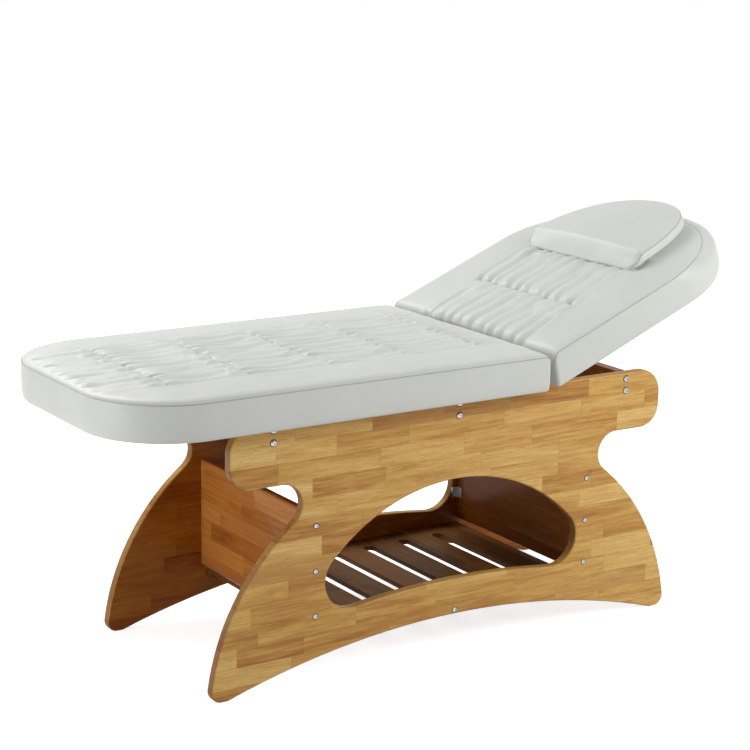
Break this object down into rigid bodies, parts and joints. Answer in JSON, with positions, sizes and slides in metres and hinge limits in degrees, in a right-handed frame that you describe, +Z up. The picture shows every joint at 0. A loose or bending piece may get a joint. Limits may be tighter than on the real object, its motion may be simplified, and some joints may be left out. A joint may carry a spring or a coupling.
{
  "type": "massage bed",
  "caption": "Wooden massage bed with a padded leg section, a hinged tilting back section on struts, a loose half-moon pillow and a slatted storage shelf.",
  "frame": {"origin": "on the floor, midway along the bed's length and width", "axes": "+X towards the head end, -Y the near side in the picture, +Z up"},
  "size_m": [1.8399, 0.7042, 1.0233],
  "materials": {
    "varnished_panel": "glossy varnish over finger-jointed boards",
    "varnished_board": "varnished",
    "plywood": "bare plywood",
    "upholstery": "soft artificial leather, off-white",
    "bolt_steel": "bright",
    "zinc_steel": "zinc plated",
    "shaft_steel": "ground",
    "tube_paint": "satin black",
    "bush_plastic": "matte"
  },
  "bodies": {
    "base": {"side_panel_near": "varnished_panel", "side_panel_far": "varnished_panel", "end_panel_foot": "varnished_board", "end_panel_head": "varnished_board", "shelf_board": "varnished_board", "shelf_centre_rail": "varnished_board", "shelf_cleats": "varnished_board", "cross_rail_foot": "varnished_board", "cross_rail_middle": "varnished_board", "cross_rail_head": "varnished_board", "rail_bolts": "bolt_steel", "end_panel_bolts": "bolt_steel", "shelf_rail_bolts": "bolt_steel", "rail_barrel_nuts": "zinc_steel", "end_panel_barrel_nuts": "zinc_steel", "corner_brackets": "zinc_steel", "corner_bracket_screws": "zinc_steel", "leg_board": "plywood", "leg_cushion": "upholstery", "leg_board_screws": "zinc_steel", "hinge_fixed_leaves": "zinc_steel", "hinge_fixed_screws": "zinc_steel", "hinge_pins": "shaft_steel", "strut_bushes": "bush_plastic"},
    "backrest": {"back_board": "plywood", "back_cushion": "upholstery", "hinge_moving_leaves": "zinc_steel", "hinge_moving_screws": "zinc_steel", "strut_brackets": "zinc_steel", "strut_bracket_screws": "zinc_steel"},
    "strut_tubes": {"strut_lower_shaft": "shaft_steel", "strut_tube_near": "tube_paint", "strut_tube_far": "tube_paint"},
    "strut_rods": {"strut_upper_shaft": "shaft_steel", "strut_rod_near": "shaft_steel", "strut_rod_far": "shaft_steel"},
    "pillow": {"pillow_cushion": "upholstery"}
  },
  "joints": [
    {"name": "back_tilt", "type": "hinge", "parent": "base", "child": "backrest", "pos_m": [0.2245, 0, 0.684], "axis": [0, -1, 0], "range_deg": [-22.5, 22.5]},
    {"name": "strut_tube_swing", "type": "hinge", "parent": "base", "child": "strut_tubes", "pos_m": [0.27777, 0, 0.43974], "axis": [0, -1, 0], "range_deg": [-11.5, 11.5]},
    {"name": "strut_rod_swing", "type": "hinge", "parent": "backrest", "child": "strut_rods", "pos_m": [0.47156, 0, 0.72226], "axis": [0, -1, 0], "range_deg": [-11.5, 11.5]},
    {"name": "pillow_lift", "type": "slide", "parent": "backrest", "child": "pillow", "axis": [-0.3827, 0, 0.9239], "range_m": [0, 0.15]}
  ],
  "couplings": [
    {"joint": "strut_tube_swing", "follows": "back_tilt", "ratio": 0.5},
    {"joint": "strut_rod_swing", "follows": "back_tilt", "ratio": -0.5}
  ]
}
